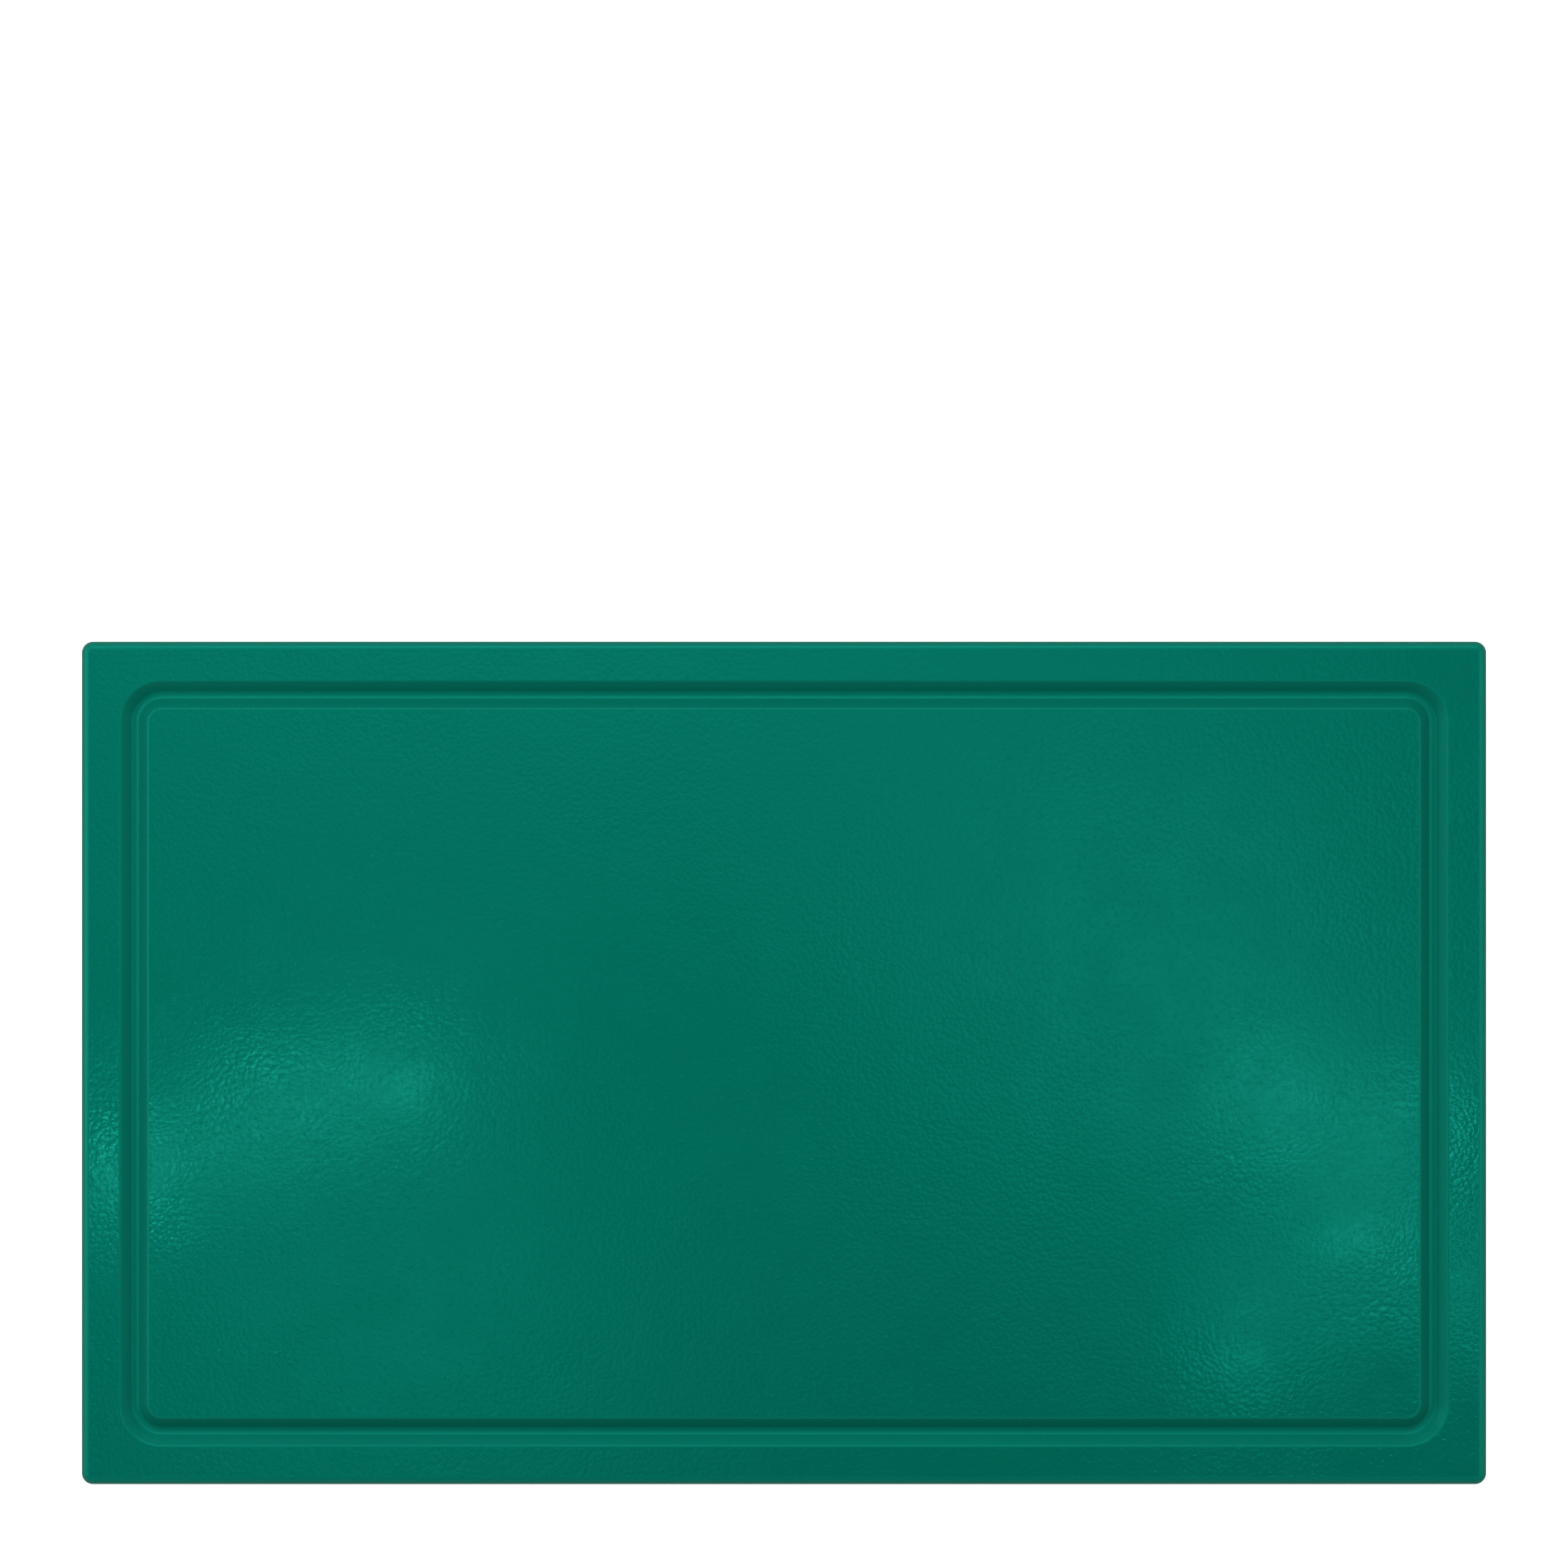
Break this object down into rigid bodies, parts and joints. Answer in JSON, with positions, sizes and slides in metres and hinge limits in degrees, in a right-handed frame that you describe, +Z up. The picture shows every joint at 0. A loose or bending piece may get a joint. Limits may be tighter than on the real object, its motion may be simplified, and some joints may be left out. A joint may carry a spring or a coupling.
{
  "type": "cutting board",
  "caption": "Rectangular catering cutting board with a juice groove round its textured face, standing on push-in anti-slip feet.",
  "frame": {"origin": "centre of the board's footprint, on the surface that the feet stand on", "axes": "+X along the board's length, +Y along its width from front to back, +Z up out of the grooved cutting face"},
  "size_m": [0.5, 0.3, 0.025],
  "materials": {
    "board_plastic": "satin",
    "foot_rubber": "matte"
  },
  "bodies": {
    "slab": {"board": "board_plastic"},
    "front_left_foot": {"foot_front_left": "foot_rubber"},
    "front_right_foot": {"foot_front_right": "foot_rubber"},
    "back_left_foot": {"foot_back_left": "foot_rubber"},
    "back_right_foot": {"foot_back_right": "foot_rubber"}
  },
  "joints": [
    {"name": "pull_off_front_left", "type": "slide", "parent": "slab", "child": "front_left_foot", "axis": [0, 0, -1], "range_m": [0, 0.02]},
    {"name": "pull_off_front_right", "type": "slide", "parent": "slab", "child": "front_right_foot", "axis": [0, 0, -1], "range_m": [0, 0.02]},
    {"name": "pull_off_back_left", "type": "slide", "parent": "slab", "child": "back_left_foot", "axis": [0, 0, -1], "range_m": [0, 0.02]},
    {"name": "pull_off_back_right", "type": "slide", "parent": "slab", "child": "back_right_foot", "axis": [0, 0, -1], "range_m": [0, 0.02]}
  ]
}
